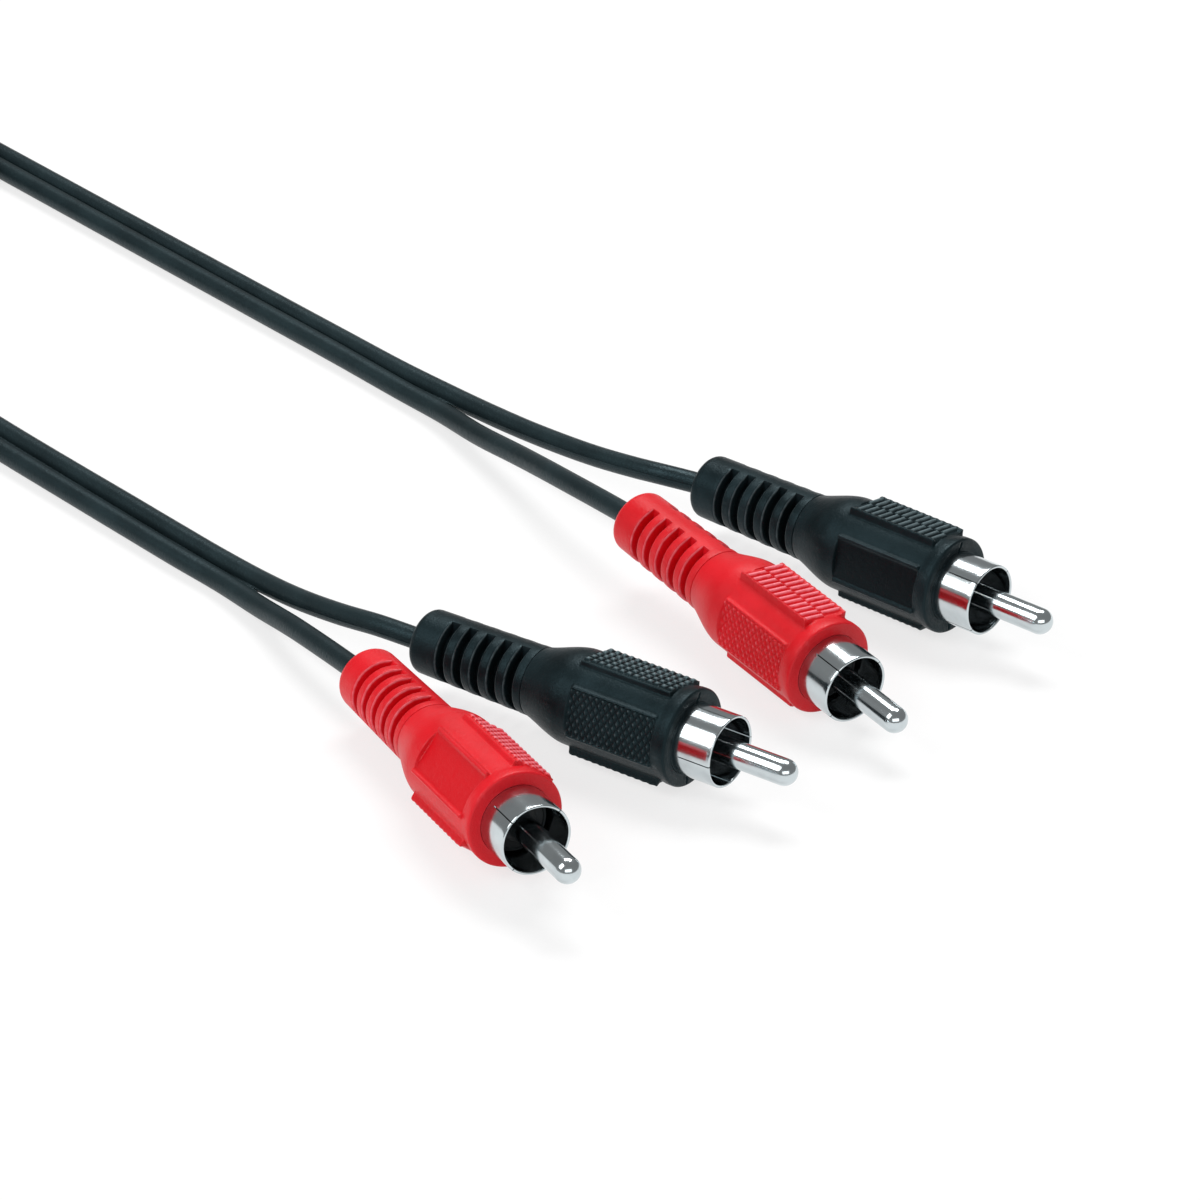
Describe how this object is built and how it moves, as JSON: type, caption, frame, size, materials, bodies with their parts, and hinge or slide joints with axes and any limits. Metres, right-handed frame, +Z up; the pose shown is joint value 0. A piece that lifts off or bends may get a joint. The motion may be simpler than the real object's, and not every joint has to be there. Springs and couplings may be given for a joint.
{
  "type": "stereo phono audio cable",
  "caption": "Twin cord with a red and a black moulded phono plug at each end, for joining home audio equipment.",
  "frame": {"origin": "on the table plane, below the middle of the four plugs", "axes": "+Z up from the table; the plugs point roughly towards +X and -Y, and the cord runs off towards -X and +Y"},
  "size_m": [0.1981, 0.2187, 0.0133],
  "materials": {
    "red_plastic": "satin flexible moulding, bright red",
    "black_plastic": "satin flexible moulding, black",
    "plated_metal": "bright nickel plate",
    "insulator": "smooth black moulding",
    "inner_mould": "plain cream moulding, hidden",
    "cord_jacket": "satin flexible cord jacket, black",
    "core_insulation": "smooth white insulation, hidden",
    "copper": "bare stranded copper, hidden"
  },
  "bodies": {
    "root": {"left_red_body": "red_plastic", "left_red_inner_mould": "inner_mould", "left_red_ground_shell": "plated_metal", "left_red_insulator": "insulator", "left_red_centre_pin": "plated_metal", "left_red_core_wire": "core_insulation", "left_red_screen_tail": "copper", "left_red_jacket_end": "cord_jacket", "left_red_strand": "cord_jacket", "left_black_body": "black_plastic", "left_black_inner_mould": "inner_mould", "left_black_ground_shell": "plated_metal", "left_black_insulator": "insulator", "left_black_centre_pin": "plated_metal", "left_black_core_wire": "core_insulation", "left_black_screen_tail": "copper", "left_black_jacket_end": "cord_jacket", "left_black_strand": "cord_jacket", "right_red_body": "red_plastic", "right_red_inner_mould": "inner_mould", "right_red_ground_shell": "plated_metal", "right_red_insulator": "insulator", "right_red_centre_pin": "plated_metal", "right_red_core_wire": "core_insulation", "right_red_screen_tail": "copper", "right_red_jacket_end": "cord_jacket", "right_red_strand": "cord_jacket", "right_black_body": "black_plastic", "right_black_inner_mould": "inner_mould", "right_black_ground_shell": "plated_metal", "right_black_insulator": "insulator", "right_black_centre_pin": "plated_metal", "right_black_core_wire": "core_insulation", "right_black_screen_tail": "copper", "right_black_jacket_end": "cord_jacket", "right_black_strand": "cord_jacket", "cord_coil": "cord_jacket"}
  },
  "joints": []
}
